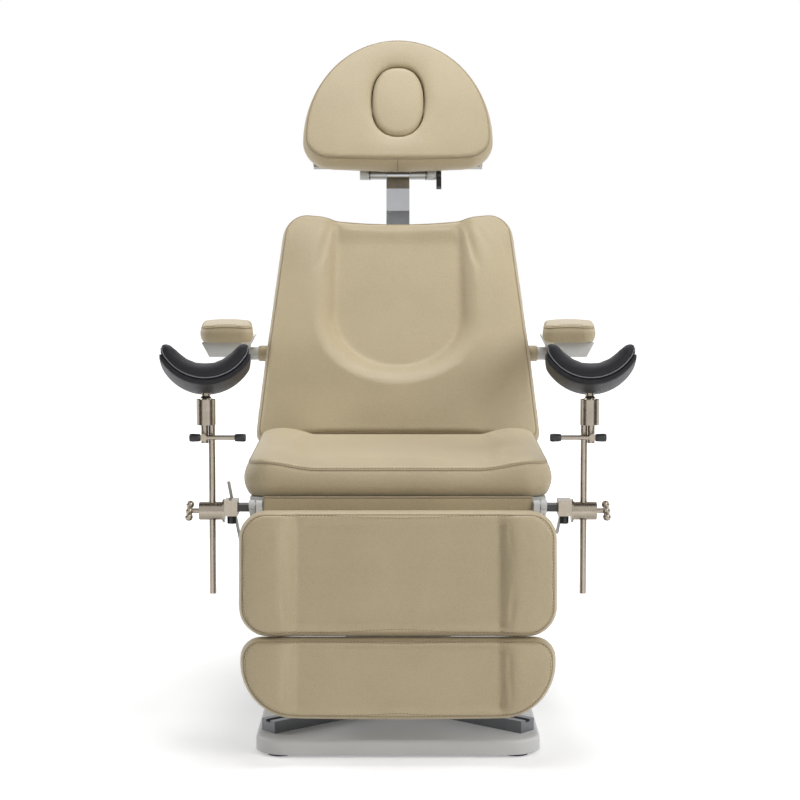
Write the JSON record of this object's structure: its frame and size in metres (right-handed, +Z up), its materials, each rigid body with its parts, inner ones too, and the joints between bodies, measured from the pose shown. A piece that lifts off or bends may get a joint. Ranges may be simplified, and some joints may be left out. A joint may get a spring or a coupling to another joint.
{
  "type": "examination table",
  "caption": "Padded clinic examination table with a reclining back, folding legs, headrest, armrests and leg support cups on a lifting column and flat base.",
  "frame": {"origin": "on the floor under the middle of the overall box", "axes": "+Z up, +X to the right seen from the foot end, the foot end towards -Y"},
  "size_m": [0.9384, 1.1867, 1.4889],
  "materials": {
    "upholstery": "satin",
    "cup_pad": "satin",
    "white_paint": "satin",
    "white_plastic": "gloss",
    "board": "satin",
    "grey_rail": "satin",
    "steel": "satin",
    "nickel": "satin",
    "chrome": "polished",
    "black_plastic": "matte",
    "rubber": "matte"
  },
  "bodies": {
    "base": {"base_plate": "white_paint", "base_feet": "rubber", "brace_rails": "grey_rail", "column_outer": "white_paint", "lift_spindle": "steel"},
    "seat": {"column_inner": "grey_rail", "column_head": "white_paint", "seat_rail_left": "white_paint", "seat_rail_right": "white_paint", "seat_board": "board", "seat_pad": "upholstery", "hinge_flap": "upholstery", "stirrup_bar": "steel", "hinge_pins": "steel", "back_drive": "grey_rail", "leg_drive": "grey_rail", "clamp_block_left": "nickel", "clamp_block_right": "nickel"},
    "back": {"back_rails": "white_paint", "back_board": "board", "back_pad": "upholstery", "back_lever": "white_paint", "head_socket": "white_paint"},
    "back_rod": {"back_rod": "steel"},
    "leg": {"leg_rails": "white_paint", "leg_board": "board", "leg_pad_upper": "upholstery", "leg_lever": "white_paint"},
    "leg_rod": {"leg_rod": "steel"},
    "foot": {"foot_frame": "white_paint", "foot_board": "board", "leg_pad_lower": "upholstery"},
    "head_bar": {"head_bar": "chrome"},
    "head": {"head_bracket": "white_paint", "head_board": "board", "head_pad": "upholstery"},
    "face_plug": {"face_plug": "upholstery"},
    "head_lever": {"head_lever": "black_plastic"},
    "arm_left": {"arm_bracket_left": "white_plastic", "arm_pad_left": "upholstery"},
    "clamp_screw_left": {"clamp_screw_left": "black_plastic"},
    "side_lever_left": {"side_lever_left": "white_plastic"},
    "rod_clamp_left": {"rod_clamp_left": "nickel"},
    "rod_knob_left": {"rod_knob_left": "nickel"},
    "stirrup_rod_left": {"stirrup_rod_left": "nickel"},
    "socket_handle_left": {"socket_handle_left": "nickel"},
    "socket_ball_left": {"socket_ball_left": "nickel"},
    "cup_left": {"cup_shell_left": "black_plastic", "cup_pad_left": "cup_pad"},
    "arm_right": {"arm_bracket_right": "white_plastic", "arm_pad_right": "upholstery"},
    "clamp_screw_right": {"clamp_screw_right": "black_plastic"},
    "side_lever_right": {"side_lever_right": "white_plastic"},
    "rod_clamp_right": {"rod_clamp_right": "nickel"},
    "rod_knob_right": {"rod_knob_right": "nickel"},
    "stirrup_rod_right": {"stirrup_rod_right": "nickel"},
    "socket_handle_right": {"socket_handle_right": "nickel"},
    "socket_ball_right": {"socket_ball_right": "nickel"},
    "cup_right": {"cup_shell_right": "black_plastic", "cup_pad_right": "cup_pad"}
  },
  "joints": [
    {"name": "lift", "type": "slide", "parent": "base", "child": "seat", "axis": [0, 0, 1], "range_m": [0, 0.2]},
    {"name": "back_recline", "type": "hinge", "parent": "seat", "child": "back", "pos_m": [0, 0.027, 0.54], "axis": [1, 0, 0], "range_deg": [-60, 15]},
    {"name": "back_rod_slide", "type": "slide", "parent": "seat", "child": "back_rod", "axis": [0, 0.7373, 0.6756], "range_m": [-0.1075, 0.0275]},
    {"name": "leg_raise", "type": "hinge", "parent": "seat", "child": "leg", "pos_m": [0, -0.465, 0.484], "axis": [1, 0, 0], "range_deg": [-84, 0]},
    {"name": "leg_rod_slide", "type": "slide", "parent": "seat", "child": "leg_rod", "axis": [0, 1, 0], "range_m": [-0.081, 0]},
    {"name": "foot_extend", "type": "slide", "parent": "leg", "child": "foot", "axis": [0, -0.1045, -0.9945], "range_m": [0, 0.05]},
    {"name": "head_height", "type": "slide", "parent": "back", "child": "head_bar", "axis": [0, 0.5, 0.866], "range_m": [-0.06, 0.1]},
    {"name": "head_tilt", "type": "hinge", "parent": "head_bar", "child": "head", "pos_m": [0, 0.4418, 1.15846], "axis": [1, 0, 0], "range_deg": [-30, 35]},
    {"name": "face_plug_out", "type": "slide", "parent": "head", "child": "face_plug", "axis": [0, -0.866, 0.5], "range_m": [0, 0.15]},
    {"name": "head_release", "type": "hinge", "parent": "head", "child": "head_lever", "pos_m": [0, 0.4418, 1.15846], "axis": [1, 0, 0], "range_deg": [0, 20], "stiffness_Nm_per_rad": 0.6},
    {"name": "arm_fold_left", "type": "hinge", "parent": "back", "child": "arm_left", "pos_m": [0, 0.23528, 0.74076], "axis": [1, 0, 0], "range_deg": [-115, 0]},
    {"name": "clamp_screw_turn_left", "type": "hinge", "parent": "seat", "child": "clamp_screw_left", "pos_m": [-0.327, -0.43, 0.445], "axis": [0, 0, 1], "continuous": true},
    {"name": "side_lever_turn_left", "type": "hinge", "parent": "seat", "child": "side_lever_left", "pos_m": [-0.29, -0.375, 0.47], "axis": [1, 0, 0], "range_deg": [-12, 12], "stiffness_Nm_per_rad": 2},
    {"name": "rod_clamp_turn_left", "type": "hinge", "parent": "seat", "child": "rod_clamp_left", "pos_m": [-0.34, -0.43, 0.467], "axis": [1, 0, 0], "range_deg": [-6, 60]},
    {"name": "rod_knob_turn_left", "type": "hinge", "parent": "rod_clamp_left", "child": "rod_knob_left", "pos_m": [-0.39, -0.43, 0.467], "axis": [1, 0, 0], "continuous": true},
    {"name": "stirrup_height_left", "type": "slide", "parent": "rod_clamp_left", "child": "stirrup_rod_left", "axis": [0, 0, 1], "range_m": [-0.05, 0.13]},
    {"name": "socket_handle_turn_left", "type": "hinge", "parent": "stirrup_rod_left", "child": "socket_handle_left", "pos_m": [-0.379, -0.43, 0.614], "axis": [0, 1, 0], "continuous": true},
    {"name": "cup_swivel_left", "type": "hinge", "parent": "stirrup_rod_left", "child": "socket_ball_left", "pos_m": [-0.376, -0.43, 0.684], "axis": [0, 0, 1], "range_deg": [-60, 60]},
    {"name": "cup_tilt_left", "type": "hinge", "parent": "socket_ball_left", "child": "cup_left", "pos_m": [-0.376, -0.43, 0.684], "axis": [1, 0, 0], "range_deg": [-20, 20]},
    {"name": "arm_fold_right", "type": "hinge", "parent": "back", "child": "arm_right", "pos_m": [0, 0.23528, 0.74076], "axis": [1, 0, 0], "range_deg": [-115, 0]},
    {"name": "clamp_screw_turn_right", "type": "hinge", "parent": "seat", "child": "clamp_screw_right", "pos_m": [0.327, -0.43, 0.445], "axis": [0, 0, 1], "continuous": true},
    {"name": "side_lever_turn_right", "type": "hinge", "parent": "seat", "child": "side_lever_right", "pos_m": [0.29, -0.375, 0.47], "axis": [1, 0, 0], "range_deg": [-12, 12], "stiffness_Nm_per_rad": 2},
    {"name": "rod_clamp_turn_right", "type": "hinge", "parent": "seat", "child": "rod_clamp_right", "pos_m": [0.34, -0.43, 0.467], "axis": [1, 0, 0], "range_deg": [-6, 60]},
    {"name": "rod_knob_turn_right", "type": "hinge", "parent": "rod_clamp_right", "child": "rod_knob_right", "pos_m": [0.39, -0.43, 0.467], "axis": [1, 0, 0], "continuous": true},
    {"name": "stirrup_height_right", "type": "slide", "parent": "rod_clamp_right", "child": "stirrup_rod_right", "axis": [0, 0, 1], "range_m": [-0.05, 0.13]},
    {"name": "socket_handle_turn_right", "type": "hinge", "parent": "stirrup_rod_right", "child": "socket_handle_right", "pos_m": [0.379, -0.43, 0.614], "axis": [0, 1, 0], "continuous": true},
    {"name": "cup_swivel_right", "type": "hinge", "parent": "stirrup_rod_right", "child": "socket_ball_right", "pos_m": [0.376, -0.43, 0.684], "axis": [0, 0, 1], "range_deg": [-60, 60]},
    {"name": "cup_tilt_right", "type": "hinge", "parent": "socket_ball_right", "child": "cup_right", "pos_m": [0.376, -0.43, 0.684], "axis": [1, 0, 0], "range_deg": [-20, 20]}
  ],
  "couplings": [
    {"joint": "back_rod_slide", "follows": "back_recline", "m_per_rad": 0.1023},
    {"joint": "leg_rod_slide", "follows": "leg_raise", "m_per_rad": 0.0548}
  ]
}
